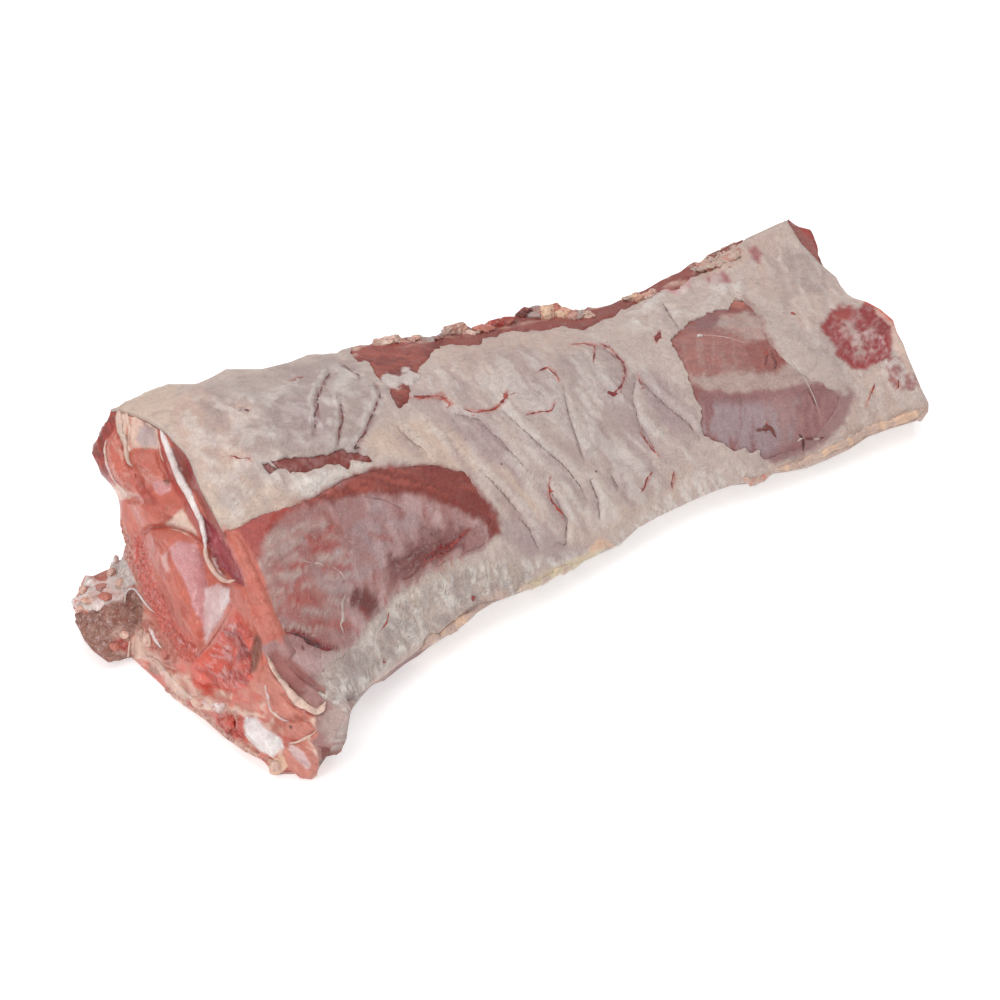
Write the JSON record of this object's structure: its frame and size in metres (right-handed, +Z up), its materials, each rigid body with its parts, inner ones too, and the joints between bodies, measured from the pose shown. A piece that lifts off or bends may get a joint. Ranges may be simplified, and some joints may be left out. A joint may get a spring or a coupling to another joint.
{
  "type": "lamb saddle",
  "caption": "Raw bone-in side of a lamb saddle, fat side up, cut across at the chump and the ribs and sawn along the backbone.",
  "frame": {"origin": "middle of the underside, under the middle of the bounding box", "axes": "+X along the back from the cut chump to the ribs, +Y across from the flank's fold to the sawn chine, +Z up towards the fat"},
  "size_m": [0.4154, 0.1582, 0.0952],
  "materials": {
    "lean": "moist raw muscle",
    "fat": "waxy fat under a thin dry skin",
    "bone": "sawn spongy bone",
    "cartilage": "smooth wet cartilage"
  },
  "bodies": {
    "root": {"lean": "lean", "fat_cover": "fat", "sacrum": "bone", "hip_bone": "bone", "hip_cartilage": "cartilage", "vertebra_1": "bone", "vertebra_2": "bone", "vertebra_3": "bone", "vertebra_4": "bone", "vertebra_5": "bone", "vertebra_6": "bone", "vertebra_7": "bone", "vertebra_8": "bone", "vertebra_9": "bone", "vertebra_10": "bone"}
  },
  "joints": []
}
